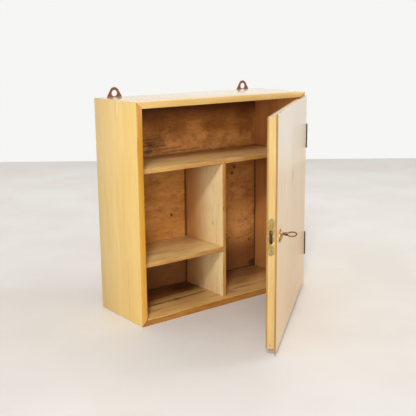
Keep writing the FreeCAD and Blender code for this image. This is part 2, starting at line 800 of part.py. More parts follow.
def main():
    """Draw every sub-part, check the document and write the finished shapes."""
    shelves = shelves_and_divider()
    back_room, nails = back_of_carcass()
    tongue_group = tongues()

    hanger_parts = []
    hanger_screws = []
    for side, sign in (("left", -1), ("right", 1)):
        plate, screws = hanger_plate(side, sign)
        hanger_parts += [plate, *screws]
        hanger_screws += screws
    keep("hanger_screws", group("hanger_screws", hanger_screws))

    hinge_parts = []
    carcass_screws = []
    door_screws = []
    for level, middle in (("upper", "height - hinge_inset"), ("lower", "hinge_inset")):
        recess, in_carcass, in_leaf = hinge(f"{level}_hinge", middle)
        hinge_parts += [recess, *in_carcass]
        carcass_screws += in_carcass
        door_screws += in_leaf
    keep("hinge_carcass_screws", group("hinge_carcass_screws", carcass_screws))
    in_door("hinge_door_screws", group("hinge_door_screw_group", door_screws))

    carcass_boards(shelves, back_room, nails, tongue_group, hanger_parts, hinge_parts, strike())

    keyhole = keyhole_room()
    pins = escutcheon(keyhole)
    door_leaf(lock(keyhole), keyhole, door_screws, pins)
    bolt()
    key()

    doc.recompute()
    for item in doc.Objects:
        if {"Invalid", "Error"} & set(item.State):
            raise RuntimeError(f"{item.Label} did not build: {item.State}")
    for name, part in nodes.items():
        if part.Shape.isNull() or not part.Shape.isValid() or not part.Shape.Solids:
            raise RuntimeError(f"{name} has no valid solid")
    os.makedirs("parts", exist_ok=True)
    for name, part in nodes.items():
        part.Shape.exportStep(os.path.join("parts", f"{name}.step"))
    print(f"{len(nodes)} sub-parts written")


main()
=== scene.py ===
# %% [markdown]
# # A small wooden wall cabinet
# The cabinet is a mitred box of varnished boards with a dark back, two shelves and a divider. Its door is a
# thin sheet on a frame, with a lip all round, and it stands open with the key in the lock. The CAD pieces come in
# with every size already right, so this lesson is about what makes them look real: eased edges, wood grain, wear,
# rust and old brass.

# %% Load the CAD pieces
import json
import math

import bmesh
import bpy
import numpy as np
from mathutils import Matrix, Vector

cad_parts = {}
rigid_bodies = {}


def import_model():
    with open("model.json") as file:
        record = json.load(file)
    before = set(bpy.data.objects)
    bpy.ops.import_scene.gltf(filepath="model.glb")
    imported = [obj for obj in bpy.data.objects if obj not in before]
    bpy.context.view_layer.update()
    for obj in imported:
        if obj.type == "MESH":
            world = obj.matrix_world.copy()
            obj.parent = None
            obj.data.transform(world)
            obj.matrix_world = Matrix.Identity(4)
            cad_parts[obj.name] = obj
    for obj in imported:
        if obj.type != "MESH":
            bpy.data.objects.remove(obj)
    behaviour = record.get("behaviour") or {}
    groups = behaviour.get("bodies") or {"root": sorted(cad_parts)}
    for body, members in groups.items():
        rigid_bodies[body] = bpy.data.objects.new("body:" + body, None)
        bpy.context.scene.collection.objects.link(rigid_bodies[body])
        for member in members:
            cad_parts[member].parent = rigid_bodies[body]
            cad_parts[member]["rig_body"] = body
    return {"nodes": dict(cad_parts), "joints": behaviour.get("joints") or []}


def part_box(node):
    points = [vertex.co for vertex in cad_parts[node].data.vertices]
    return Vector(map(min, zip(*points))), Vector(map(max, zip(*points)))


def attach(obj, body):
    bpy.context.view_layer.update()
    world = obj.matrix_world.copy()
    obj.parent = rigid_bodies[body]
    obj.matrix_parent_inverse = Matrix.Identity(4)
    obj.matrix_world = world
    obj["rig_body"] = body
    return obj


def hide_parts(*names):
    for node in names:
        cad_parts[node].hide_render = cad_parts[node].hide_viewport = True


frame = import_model()
nodes = frame["nodes"]
joints = {joint["name"]: joint for joint in frame["joints"]}
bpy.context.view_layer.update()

# %% [markdown]
# ## The camera
# The photographer stood to the left of the cabinet and a little above it. A camera could be aimed with a Track To
# constraint, but a heading, a dip and a small roll are easier to read and to change, and they say at once how the
# picture was taken.

# %% Place the camera
EYE = Vector((-0.99133, -1.29862, 0.56545))
HEADING, DIP, ROLL = math.radians(37.57), math.radians(12.581), math.radians(-0.547)
LENS, SENSOR = 65.5, 36
aim = Matrix.Rotation(-HEADING, 3, "Z") @ Matrix.Rotation(math.pi / 2 - DIP, 3, "X") @ Matrix.Rotation(ROLL, 3, "Z")
bpy.ops.object.camera_add(location=EYE, rotation=aim.to_euler())
camera = bpy.context.object
camera.name = "camera"
camera.data.lens = LENS
camera.data.sensor_width = SENSOR
bpy.context.scene.camera = camera
bpy.context.scene.view_settings.view_transform = "Standard"
print("camera looks along", [round(value, 4) for value in aim @ Vector((0, 0, -1))])

# %% [markdown]
# ## Small helpers for shader nodes
# Every finish below is made of nodes, so that nothing is read from a picture. A few short helpers keep the cells
# readable: they add a node and fill its inputs, do sums, mix two colours, and open or place a node group. Colours are
# written as a paint program shows them, from 0 to 255, and are turned into the linear values that Blender works with.


# %% Helpers for nodes
def colour(red, green, blue):
    """A colour as a paint program shows it, in Blender's linear values."""
    linear = []
    for value in (red, green, blue):
        share = value / 255
        linear.append(share / 12.92 if share <= 0.04045 else ((share + 0.055) / 1.055) ** 2.4)
    return (*linear, 1)


def feed(tree, socket, value):
    """Links another node's socket, or sets a plain value."""
    if isinstance(value, bpy.types.NodeSocket):
        tree.links.new(value, socket)
    else:
        socket.default_value = value


def node(tree, kind, inputs=None, **settings):
    """Adds one shader node with its settings and inputs."""
    made = tree.nodes.new("ShaderNode" + kind)
    for name, value in settings.items():
        setattr(made, name, value)
    for name, value in (inputs or {}).items():
        feed(tree, made.inputs[name], value)
    return made


def sums(tree, operation, *values):
    """One Math node's result."""
    return node(tree, "Math", dict(enumerate(values)), operation=operation).outputs[0]


def vectors(tree, operation, *values, out="Vector"):
    """One Vector Math node's result."""
    return node(tree, "VectorMath", dict(enumerate(values)), operation=operation).outputs[out]


def over(tree, mask, below, above):
    """Lays one colour over another where the mask is 1."""
    made = node(tree, "Mix", data_type="RGBA")
    for number, value in ((0, mask), (6, below), (7, above)):
        feed(tree, made.inputs[number], value)
    return made.outputs[2]


def spread(tree, value, low, high, to_low=0.0, to_high=1.0, smooth=True):
    """Maps a value from one span to another, held at its ends."""
    names = ("Value", "From Min", "From Max", "To Min", "To Max")
    made = node(tree, "MapRange", dict(zip(names, (value, low, high, to_low, to_high))))
    made.interpolation_type = "SMOOTHSTEP" if smooth else "LINEAR"
    return made.outputs["Result"]


def noise(tree, vector, scale, detail=2.0, roughness=0.55):
    """A cloud of values about one half."""
    inputs = {"Vector": vector, "Scale": scale, "Detail": detail, "Roughness": roughness}
    return node(tree, "TexNoise", inputs).outputs["Fac"]


def open_group(name, inputs, outputs):
    """Starts a node group and returns its tree, its inputs inside and its outputs inside."""
    tree = bpy.data.node_groups.new(name, "ShaderNodeTree")
    for socket, kind in inputs:
        tree.interface.new_socket(socket, in_out="INPUT", socket_type="NodeSocket" + kind)
    for socket in outputs:
        tree.interface.new_socket(socket, in_out="OUTPUT", socket_type="NodeSocketFloat")
    return tree, tree.nodes.new("NodeGroupInput").outputs, tree.nodes.new("NodeGroupOutput").inputs


def use_group(tree, group, **inputs):
    """Places a node group in a material; an underscore in a name stands for a space."""
    made = node(tree, "Group", node_tree=group)
    for name, value in inputs.items():
        feed(tree, made.inputs[name.replace("_", " ").capitalize()], value)
    return made.outputs


print("helpers ready")

# %% [markdown]
# ## Wood grain, shared by every board
# Wood shows three things at once: growth rings, which are wide wavy lines along the board; fibres, which are fine
# streaks; and slow changes of tone. A Wave texture could draw the rings, but it repeats too evenly. Here a cloud
# bends the rings first, and all three patterns are stretched along one direction, which each material turns to
# follow its own board.

# %% Grain group
grain, given, result = open_group(
    "wood_grain", [("Vector", "Vector"), ("Ring width", "Float"), ("Waviness", "Float")], ["Rings", "Fibre", "Tone"]
)
ALONG_RINGS, ALONG_FIBRES, ALONG_TONE = (1, 1, 0.09), (1, 1, 0.025), (1, 1, 0.22)
long_field = vectors(grain, "MULTIPLY", given["Vector"], ALONG_RINGS)
bend = sums(grain, "MULTIPLY", sums(grain, "SUBTRACT", noise(grain, long_field, 16), 0.5), given["Waviness"])
place = node(grain, "SeparateXYZ", {0: given["Vector"]}).outputs
across = sums(grain, "ADD", sums(grain, "ADD", place["X"], sums(grain, "MULTIPLY", place["Y"], 0.7)), bend)
turns = sums(grain, "MULTIPLY", sums(grain, "DIVIDE", across, given["Ring width"]), 2 * math.pi)
wave = sums(grain, "MULTIPLY_ADD", sums(grain, "SINE", turns), 0.5, 0.5)
feed(grain, result["Rings"], sums(grain, "POWER", wave, 2.5))
feed(grain, result["Fibre"], noise(grain, vectors(grain, "MULTIPLY", given["Vector"], ALONG_FIBRES), 900, 3))
feed(grain, result["Tone"], noise(grain, vectors(grain, "MULTIPLY", given["Vector"], ALONG_TONE), 26, 3))
print("grain group has", len(grain.nodes), "nodes")

# %% [markdown]
# ## Marks of age
# Old furniture has knots, stains, cracks and slow fading. Each could be painted by hand on an image, but then the
# file would need that image. Three small groups do it with distances instead: a spot is near a point, a crack is
# near a line, and a fade runs from one point to another. A fourth, a cloud, is mottling without a place of its own.
# They give masks, and each material chooses the colours.

# %% Spot, crack, fade and cloud groups
spot, given, result = open_group(
    "spot", [("Vector", "Vector"), ("Centre", "Vector"), ("Reach", "Vector"), ("Ragged", "Float")], ["Mask"]
)
off = vectors(spot, "DIVIDE", vectors(spot, "SUBTRACT", given["Vector"], given["Centre"]), given["Reach"])
far = vectors(spot, "LENGTH", off, out="Value")
edge_noise = sums(spot, "SUBTRACT", noise(spot, given["Vector"], 160, 4), 0.5)
feed(spot, result["Mask"], spread(spot, sums(spot, "MULTIPLY_ADD", edge_noise, given["Ragged"], far), 1.05, 0.35))

crack, given, result = open_group(
    "crack", [("Vector", "Vector"), ("Start", "Vector"), ("End", "Vector"), ("Width", "Float"), ("Wander", "Float")],
    ["Mask"],
)
drift = sums(crack, "MULTIPLY", sums(crack, "SUBTRACT", noise(crack, given["Vector"], 45, 3), 0.5), given["Wander"])
shifted = vectors(crack, "ADD", given["Vector"], node(crack, "CombineXYZ", {0: drift, 1: drift, 2: drift}).outputs[0])
from_start = vectors(crack, "SUBTRACT", shifted, given["Start"])
run = vectors(crack, "SUBTRACT", given["End"], given["Start"])
gone = sums(crack, "DIVIDE", vectors(crack, "DOT_PRODUCT", from_start, run, out="Value"),
            vectors(crack, "DOT_PRODUCT", run, run, out="Value"))
gone = node(crack, "Clamp", {0: gone}).outputs[0]
nearest = node(crack, "VectorMath", {0: run, "Scale": gone}, operation="SCALE").outputs["Vector"]
off_line = vectors(crack, "LENGTH", vectors(crack, "SUBTRACT", from_start, nearest), out="Value")
feed(crack, result["Mask"], spread(crack, off_line, given["Width"], 0.0))

fade, given, result = open_group("fade", [("Vector", "Vector"), ("Start", "Vector"), ("End", "Vector")], ["Mask"])
run = vectors(fade, "SUBTRACT", given["End"], given["Start"])
along = vectors(fade, "DOT_PRODUCT", vectors(fade, "SUBTRACT", given["Vector"], given["Start"]), run, out="Value")
share = sums(fade, "DIVIDE", along, vectors(fade, "DOT_PRODUCT", run, run, out="Value"))
feed(fade, result["Mask"], spread(fade, share, 0.0, 1.0))

cloud, given, result = open_group(
    "cloud", [("Vector", "Vector"), ("Reach", "Vector"), ("Low", "Float"), ("High", "Float")], ["Mask"]
)
drawn_out = vectors(cloud, "DIVIDE", given["Vector"], given["Reach"])
feed(cloud, result["Mask"], spread(cloud, noise(cloud, drawn_out, 1.0, 5, 0.62), given["Low"], given["High"]))
print("mark groups:", spot.name, crack.name, fade.name, cloud.name)

# %% [markdown]
# ## One recipe for all the wood
# The boards differ in colour, in the direction of their grain and in their marks, but not in how they are built up:
# pale wood, darker where the tone and the rings say so, fine fibres, then marks, and a coat of old varnish on top.
# So one function makes every wood, and each call below reads like a short description of one board.


# %% Wood recipe
GRAIN_TURNS = {
    "z": Matrix.Identity(3),
    "x": Matrix.Rotation(math.radians(90), 3, "Y"),
}
MARKS = {"spot": spot, "crack": crack, "fade": fade, "cloud": cloud}
FIBRE_SHADE, RING_HEIGHT, CRACK_DEPTH = 0.82, 0.4, 2.5
VARNISH_ROUGH, RELIEF, RELIEF_DEPTH = 0.14, 0.22, 0.0005


def wood(name, pale, dark, run="z", swing=0.0, ring=0.007, waviness=0.05, rings=0.35, fibres=0.3, tones=0.8,
         rough=(0.34, 0.5), coat=0.35, marks=()):
    """A varnished wood: colours, grain direction, and marks laid over it in order."""
    finish = bpy.data.materials.new(name)
    finish.use_nodes = True
    tree = finish.node_tree
    shader = tree.nodes["Principled BSDF"]
    where = node(tree, "TexCoord").outputs["Object"]
    turn = GRAIN_TURNS[run] @ Matrix.Rotation(-swing, 3, "Z")
    turned = node(tree, "Mapping", {"Vector": where, "Rotation": turn.to_euler()}).outputs[0]
    figure = use_group(tree, grain, vector=turned, ring_width=ring, waviness=waviness)
    mask = sums(tree, "MULTIPLY", spread(tree, figure["Tone"], 0.3, 0.7), tones)
    paint = over(tree, mask, colour(*pale), colour(*dark))
    paint = over(tree, sums(tree, "MULTIPLY", figure["Rings"], rings), paint, colour(*dark))
    streak = spread(tree, figure["Fibre"], 0.35, 0.75, 0.0, fibres)
    paint = over(tree, streak, paint, colour(*(FIBRE_SHADE * value for value in dark)))
    height = sums(tree, "ADD", figure["Fibre"], sums(tree, "MULTIPLY", figure["Rings"], RING_HEIGHT))
    for kind, tint, strength, values in marks:
        mark = use_group(tree, MARKS[kind], vector=where, **values)["Mask"]
        paint = over(tree, sums(tree, "MULTIPLY", mark, strength), paint, colour(*tint))
        if kind == "crack":
            height = sums(tree, "SUBTRACT", height, sums(tree, "MULTIPLY", mark, CRACK_DEPTH))
    feed(tree, shader.inputs["Base Color"], paint)
    feed(tree, shader.inputs["Roughness"], spread(tree, figure["Fibre"], 0.3, 0.7, *rough))
    shader.inputs["Coat Weight"].default_value = coat
    shader.inputs["Coat Roughness"].default_value = VARNISH_ROUGH
    bump = node(tree, "Bump", {"Height": height, "Strength": RELIEF, "Distance": RELIEF_DEPTH}).outputs[0]
    feed(tree, shader.inputs["Normal"], bump)
    return finish


def spot_at(tint, strength, centre, reach, ragged=0.6):
    """A knot, stain or dent."""
    return "spot", tint, strength, {"centre": centre, "reach": reach, "ragged": ragged}


def crack_from(tint, strength, start, end, width=0.0012, wander=0.004):
    """A crack or an open glue line."""
    return "crack", tint, strength, {"start": start, "end": end, "width": width, "wander": wander}


def fade_from(tint, strength, start, end):
    """A slow change of colour from one point to another."""
    return "fade", tint, strength, {"start": start, "end": end}


def clouds_of(tint, strength, reach, low=0.5, high=0.62):
    """Mottling with patches of about a given size."""
    return "cloud", tint, strength, {"reach": reach, "low": low, "high": high}


print("wood recipe ready")

# %% [markdown]
# ## Easing the CAD pieces
# A CAD edge is perfectly sharp, and nothing shows a computer model sooner. Real boards have their edges rubbed with
# sandpaper. A Bevel modifier would also round the rims of tiny screw holes, so each piece is copied, its triangles
# are merged into whole faces, and only its long sharp edges are bevelled.


# %% Ease edges and give faces their finish
def deselect():
    """Leaves edit mode and clears the selection."""
    if bpy.context.object and bpy.context.object.mode != "OBJECT":
        bpy.ops.object.mode_set(mode="OBJECT")
    bpy.ops.object.select_all(action="DESELECT")


def take(piece):
    """Makes one object the active and only selected one."""
    deselect()
    piece.select_set(True)
    bpy.context.view_layer.objects.active = piece


def pick(piece, kind, test):
    """In edit mode, selects the faces or edges that pass a test."""
    mesh = bmesh.from_edit_mesh(piece.data)
    bpy.ops.mesh.select_all(action="DESELECT")
    for item in getattr(mesh, kind):
        if test(item):
            item.select_set(True)
    bmesh.update_edit_mesh(piece.data)


def stand_in(piece, node_name):
    """The finished piece takes the place of a CAD piece and moves with its body."""
    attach(piece, nodes[node_name]["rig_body"])
    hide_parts(node_name)


def eased(node_name, width, shortest=0.008, sharp=35, steps=2):
    """A copy of a CAD piece whose long sharp edges are rounded."""
    piece = bpy.data.objects.new(f"{node_name}_finished", nodes[node_name].data.copy())
    bpy.context.scene.collection.objects.link(piece)
    take(piece)
    bpy.ops.mesh.customdata_custom_splitnormals_clear()
    bpy.ops.object.mode_set(mode="EDIT")
    bpy.ops.mesh.select_all(action="SELECT")
    bpy.ops.mesh.remove_doubles(threshold=0.000002)
    bpy.ops.mesh.dissolve_limited(angle_limit=math.radians(0.4))
    bpy.ops.mesh.select_mode(type="EDGE")
    limit = math.radians(sharp)
    pick(piece, "edges", lambda edge: edge.calc_length() > shortest and edge.calc_face_angle(0) > limit)
    bpy.ops.mesh.bevel(offset=width, segments=steps, affect="EDGES", clamp_overlap=False)
    bpy.ops.mesh.select_mode(type="VERT")
    bpy.ops.object.mode_set(mode="OBJECT")
    bpy.ops.object.shade_smooth_by_angle(angle=math.radians(32))
    stand_in(piece, node_name)
    return piece


def facing(*direction):
    """A test for faces that look in a direction."""
    wanted = Vector(direction).normalized()
    return lambda face: face.normal.dot(wanted) > 0.8


def dress(piece, finish, *others):
    """One finish all over, and others on the faces that pass their tests."""
    piece.data.materials.clear()
    for material in (finish, *(material for material, _ in others)):
        piece.data.materials.append(material)
    for face in piece.data.polygons:
        face.material_index = 0
        for number, (_, test) in enumerate(others, 1):
            if test(face):
                face.material_index = number
    return piece


print("pieces can be eased and dressed")

# %% [markdown]
# ## The four boards of the box
# The sides are pale straw wood under varnish that has yellowed, with upright grain. Their front edges took more
# varnish and turned orange. The left side shows an open glue line near its foot, and a pale streak near its top.
# Each face has its own finish, because that is how the real box was cut: face grain on the sides, edge grain at the
# front, and browner wood inside, where light and cleaning cloths rarely came.

# %% Board finishes
STRAW, STRAW_DARK = (235, 200, 122), (226, 185, 100)
MITRE_IN, MITRE_LINE = 0.0125, (112, 62, 20)
FRONT, BACK, LEFT, HIGH = -0.08, 0.0735, -0.2225, 0.45
# Painted shade, with some dirt, that darkens the inner corners where boards meet.
CORNER_SHADE_AND_DIRT = (70, 38, 14)


def mitre_at(side, end, inward, strength, width):
    """The open line of one mitre, from the corner inwards."""
    corner, inner = (side, FRONT, end), (side + math.copysign(MITRE_IN, -side), FRONT, end + inward * MITRE_IN)
    return crack_from(MITRE_LINE, strength, corner, inner, width, 0.0006)


mitre_high = mitre_at(LEFT, HIGH, -1, 0.9, 0.0011)
mitre_low = mitre_at(LEFT, 0, 1, 0.95, 0.0020)
mitre_right = mitre_at(-LEFT, HIGH, -1, 0.9, 0.0011)
side_face = wood("straw_side", STRAW, STRAW_DARK, ring=0.016, rings=0.1, fibres=0.16, tones=0.45, coat=0.2, marks=[
    clouds_of((240, 209, 139), 0.4, (0.03, 0.03, 0.3)),
    crack_from((150, 96, 40), 0.7, (LEFT, -0.0317, 0.124), (LEFT, -0.0320, 0.002), 0.0009, 0.002),
    crack_from((250, 236, 200), 0.6, (LEFT, -0.0108, 0.449), (LEFT, -0.0089, 0.421), 0.0022, 0.001),
    crack_from((214, 170, 92), 0.35, (LEFT, -0.0108, 0.421), (LEFT, -0.006, 0.05), 0.0012, 0.003),
    fade_from((228, 184, 104), 0.3, (LEFT, 0, 0.16), (LEFT, 0, -0.04)),
    crack_from((150, 92, 34), 0.8, (LEFT, FRONT, 0.45), (LEFT, FRONT, 0), 0.0016, 0.001),
])
# The top is paler and whiter than the sides: partly its own colour, partly a painted reflection of the white room.
top_face = wood("straw_top", (242, 221, 178), (231, 200, 144), run="x", ring=0.012, rings=0.15, fibres=0.2, coat=0.8,
                rough=(0.2, 0.34))
left_edge = wood("orange_edge", (206, 146, 42), (188, 126, 28), ring=0.006, rings=0.2, marks=[
    spot_at((120, 66, 18), 0.7, (LEFT, FRONT, 0.19), (0.002, 0.01, 0.016), 1.2),
    spot_at((120, 66, 18), 0.6, (LEFT, FRONT, 0.13), (0.002, 0.01, 0.022), 1.2),
    spot_at((246, 222, 170), 0.6, (LEFT, FRONT, 0.405), (0.0016, 0.01, 0.04), 1.0),
    fade_from((234, 174, 66), 0.75, (LEFT, FRONT, 0.40), (LEFT, FRONT, 0.22)),
    crack_from((158, 92, 26), 0.6, (LEFT + 0.0128, FRONT, 0.436), (LEFT + 0.0128, FRONT, 0.014), 0.0012, 0.002),
    mitre_high, mitre_low, mitre_right,
])
top_edge = wood("honey_edge", (236, 200, 128), (218, 176, 98), run="x", ring=0.005, rings=0.2,
                marks=[mitre_high, mitre_right])
foot_edge = wood("amber_edge", (184, 126, 36), (158, 98, 22), run="x", ring=0.005, rings=0.25, coat=0.15, marks=[
    clouds_of((124, 72, 26), 0.6, (0.03, 0.01, 0.006), 0.46, 0.68),
    crack_from((236, 200, 146), 0.6, (LEFT + 0.013, FRONT, 0.0124), (-0.13, FRONT, 0.0128), 0.0020, 0.003),
    crack_from((112, 62, 22), 0.7, (-0.13, FRONT, 0.0128), (-LEFT, FRONT, 0.0128), 0.0014, 0.003),
    mitre_low,
])
inner_wall = wood("inner_wall", (224, 160, 92), (200, 132, 66), ring=0.012, rings=0.2, marks=[
    clouds_of((170, 104, 48), 0.5, (0.05, 0.03, 0.16), 0.45, 0.75),
    # Painted shade with some dirt along the wall's back corner.
    crack_from(CORNER_SHADE_AND_DIRT, 0.8, (-LEFT - 0.013, BACK, 0.304), (-LEFT - 0.013, BACK, 0.013), 0.004, 0.002),
])
floor_face = wood("inner_floor", (240, 198, 128), (222, 172, 98), run="x", ring=0.012, rings=0.2, marks=[
    clouds_of((150, 96, 44), 0.6, (0.07, 0.014, 0.05), 0.46, 0.7),
    # Painted shade with some dirt: darker towards the back.
    fade_from((128, 76, 36), 0.8, (0, -0.03, 0.013), (0, 0.04, 0.013)),
    # Painted shade with some dirt along the floor's back corner.
    crack_from(CORNER_SHADE_AND_DIRT, 0.9, (LEFT, BACK, 0.013), (-LEFT, BACK, 0.013), 0.006, 0.006),
    crack_from((46, 22, 8), 1.0, (-0.1643, -0.0150, 0.013), (-0.0107, -0.0099, 0.013), 0.0042, 0.006),
    crack_from((56, 28, 10), 0.85, (-0.1900, 0.0150, 0.013), (-0.0200, 0.0220, 0.013), 0.0046, 0.008),
    # Painted shade with some dirt: a dark patch in the back corner by the divider.
    spot_at((58, 30, 12), 0.75, (-0.0280, 0.0480, 0.013), (0.046, 0.030, 0.02), 1.0),
    spot_at((70, 38, 16), 0.7, (-0.0900, -0.0140, 0.013), (0.014, 0.007, 0.02), 1.0),
    crack_from((92, 54, 24), 0.6, (-0.1200, -0.0420, 0.013), (0.0900, -0.0400, 0.013), 0.0016, 0.008),
    crack_from((52, 26, 10), 0.9, (0.1095, 0.0597, 0.013), (0.2025, 0.0523, 0.013), 0.0022, 0.004),
    crack_from((80, 44, 18), 0.6, (0.0300, 0.0300, 0.013), (0.2000, 0.0220, 0.013), 0.0018, 0.006),
])
print("board finishes:", [item.name for item in (side_face, top_face, left_edge, top_edge, foot_edge, inner_wall)])

# %% Boards
EASE = 0.0009
left_board = dress(eased("left_side_panel", EASE), side_face,
                   (left_edge, facing(0, -1, 0)), (inner_wall, facing(1, 0, 0)))
right_board = dress(eased("right_side_panel", EASE), side_face,
                    (left_edge, facing(0, -1, 0)), (inner_wall, facing(-1, 0, 0)))
top_board = dress(eased("top_panel", EASE), top_face,
                  (top_edge, facing(0, -1, 0)), (inner_wall, facing(0, 0, -1)))
foot_board = dress(eased("bottom_panel", EASE), foot_edge,
                   (floor_face, facing(0, 0, 1)), (inner_wall, facing(0, 0, -1)))
print("boards have", [len(board.data.polygons) for board in (left_board, right_board, top_board, foot_board)], "faces")

# %% [markdown]
# ## The dark back
# The back is a sheet of plywood that has gone dark. Inside it is reddish brown with cloudy figure, a knot, a grey
# blot and a few nail marks. Light and shade are painted into its colour too: darker under the top where no light
# falls, paler where light reaches in, darker towards the bottom with some dirt, and dark lines along its corners and
# along a shadow's edge. The CAD sheet has the right shape and no edge of it shows, so it stays and only gets a finish.

# %% Back finish
SMEARS = [((-0.112, 0.3535), (-0.066, 0.3550)), ((-0.104, 0.3475), (-0.058, 0.3490)),
          ((-0.112, 0.3405), (-0.070, 0.3430)), ((-0.100, 0.3345), (-0.052, 0.3375)),
          ((-0.100, 0.3275), (-0.010, 0.3310)), ((-0.080, 0.3215), (0.040, 0.3240))]
BLOTS = [((-0.068, 0.384), (0.040, 0.030)), ((-0.080, 0.350), (0.040, 0.024)), ((-0.016, 0.371), (0.036, 0.028)),
         ((0.090, 0.376), (0.044, 0.024)), ((0.175, 0.385), (0.040, 0.045))]
back_face = wood("dark_back", (206, 147, 73), (186, 124, 55), run="x", ring=0.02, waviness=0.2, rings=0.2, coat=0.1,
                 rough=(0.45, 0.6), marks=[
    # Painted light: paler patches where light reaches into the upper and right compartments.
    spot_at((240, 174, 104), 0.75, (0.02, BACK, 0.335), (0.19, 0.04, 0.034), 0.9),
    spot_at((238, 176, 102), 0.8, (0.13, BACK, 0.15), (0.09, 0.04, 0.14), 0.9),
    clouds_of((228, 166, 100), 0.65, (0.08, 0.05, 0.02), 0.42, 0.72),
    clouds_of((132, 74, 30), 0.55, (0.028, 0.05, 0.022), 0.46, 0.72),
    clouds_of((112, 60, 24), 0.4, (0.014, 0.05, 0.005), 0.5, 0.72),
    *(spot_at((120, 64, 26), 0.5, (x, BACK, z), (wide, 0.04, tall), 0.7) for (x, z), (wide, tall) in BLOTS),
    # Painted shade: darker under the top, and darker towards the bottom, where it is mixed with some dirt.
    fade_from((78, 34, 4), 0.96, (0, BACK, 0.37), (0, BACK, 0.425)),
    fade_from((112, 64, 28), 0.85, (0, BACK, 0.125), (0, BACK, 0.05)),
    *(crack_from((92, 46, 22), 0.55, (x, BACK, z), (to_x, BACK, to_z), 0.0034, 0.010)
      for (x, z), (to_x, to_z) in SMEARS),
    spot_at((104, 56, 24), 0.7, (-0.0944, BACK, 0.3421), (0.009, 0.02, 0.007)),
    spot_at((84, 72, 70), 0.8, (-0.0980, BACK, 0.3272), (0.016, 0.02, 0.006)),
    spot_at((56, 30, 14), 0.9, (-0.0401, BACK, 0.1779), (0.0045, 0.02, 0.0055)),
    spot_at((50, 30, 18), 0.9, (0.1435, BACK, 0.2677), (0.0050, 0.02, 0.0050)),
    spot_at((50, 30, 18), 0.85, (0.1372, BACK, 0.2539), (0.0050, 0.02, 0.0045)),
    spot_at((70, 38, 16), 0.7, (0.1911, BACK, 0.0824), (0.005, 0.02, 0.005)),
    spot_at((34, 20, 10), 0.8, (0.2000, BACK, 0.0230), (0.016, 0.02, 0.010)),
    # Painted shadow edge: a dark line where the edge of a shadow crosses the back.
    crack_from((84, 44, 16), 0.7, (0.1494, BACK, 0.0895), (0.2074, BACK, 0.1001), 0.0018, 0.004),
    # Painted shade with some dirt along the back's inner corners.
    *(crack_from(CORNER_SHADE_AND_DIRT, 0.85, (x, BACK, z), (x, BACK, 0.013), 0.005, 0.003)
      for x, z in ((-0.0005, 0.304), (0.2095, 0.304))),
    crack_from(CORNER_SHADE_AND_DIRT, 0.8, (LEFT, BACK, 0.013), (-LEFT, BACK, 0.013), 0.004, 0.004),
    crack_from(CORNER_SHADE_AND_DIRT, 0.4, (LEFT, BACK, 0.3165), (-LEFT, BACK, 0.3165), 0.004, 0.004),
])
nodes["back_panel"].data.materials.clear()
nodes["back_panel"].data.materials.append(back_face)
print("back finish has", len(back_face.node_tree.nodes), "nodes")

# %% [markdown]
# ## Shelves and divider
# These are thin plywood, tan on top and browner towards the back. Their front edges show the
# layers of the ply as fine lines. The layers could be modelled, but lines that fine are better drawn by the
# material: a wave across the thickness of the edge.


# %% Ply finishes and boards
def ply_edge(name, pale, dark, axis, start, thick, marks):
    """A plywood edge whose three layers run across one axis."""
    finish = wood(name, pale, dark, run="x" if axis == "Z" else "z", ring=0.02, rings=0.1, fibres=0.4, marks=marks)
    tree = finish.node_tree
    shader = tree.nodes["Principled BSDF"]
    where = node(tree, "TexCoord").outputs["Object"]
    place = node(tree, "SeparateXYZ", {0: where}).outputs[axis]
    layer = sums(tree, "DIVIDE", sums(tree, "SUBTRACT", place, start), thick)
    middle = spread(tree, sums(tree, "ABSOLUTE", sums(tree, "SUBTRACT", layer, 0.5)), 0.22, 0.14)
    below = shader.inputs["Base Color"].links[0].from_socket
    feed(tree, shader.inputs["Base Color"], over(tree, sums(tree, "MULTIPLY", middle, 0.55), below, colour(*dark)))
    return finish


shelf_face = wood("shelf_face", (236, 205, 144), (219, 181, 115), run="x", ring=0.014, waviness=0.1, rings=0.15, marks=[
    clouds_of((172, 122, 62), 0.6, (0.07, 0.014, 0.05), 0.46, 0.7),
    fade_from((172, 116, 66), 0.5, (0, -0.01, 0), (0, 0.07, 0)),
])
shelf_under = wood("shelf_under", (190, 130, 70), (160, 100, 46), run="x", ring=0.014, rings=0.2)
divider_face = wood("divider_face", (250, 228, 176), (240, 210, 150), ring=0.014, rings=0.2, fibres=0.3, marks=[
    clouds_of((212, 166, 98), 0.35, (0.05, 0.012, 0.06), 0.48, 0.7),
    fade_from((184, 118, 46), 0.85, (0, -0.02, 0), (0, 0.055, 0)),
    # Painted shade with some dirt along the divider's back corner.
    crack_from(CORNER_SHADE_AND_DIRT, 0.85, (0, BACK, 0.306), (0, BACK, 0.013), 0.005, 0.003),
    spot_at((190, 132, 74), 0.5, (0, -0.0274, 0.172), (0.02, 0.003, 0.008)),
])
divider_dark = wood("divider_dark", (206, 146, 82), (176, 114, 56), ring=0.012, rings=0.2)
for shelf_name in ("upper_shelf", "lower_shelf"):
    low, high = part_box(shelf_name)
    grime = [clouds_of((140, 88, 38), 0.5, (0.04, 0.01, 0.006), 0.48, 0.7),
             crack_from((112, 64, 24), 0.8, (low[0], low[1], low[2]), (high[0], low[1], low[2]), 0.0018, 0.002)]
    front = ply_edge(f"{shelf_name}_edge", (232, 186, 116), (200, 144, 72), "Z", low[2], high[2] - low[2], grime)
    dress(eased(shelf_name, 0.0007), shelf_face,
          (front, facing(0, -1, 0)), (shelf_under, facing(0, 0, -1)))
low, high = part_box("divider")
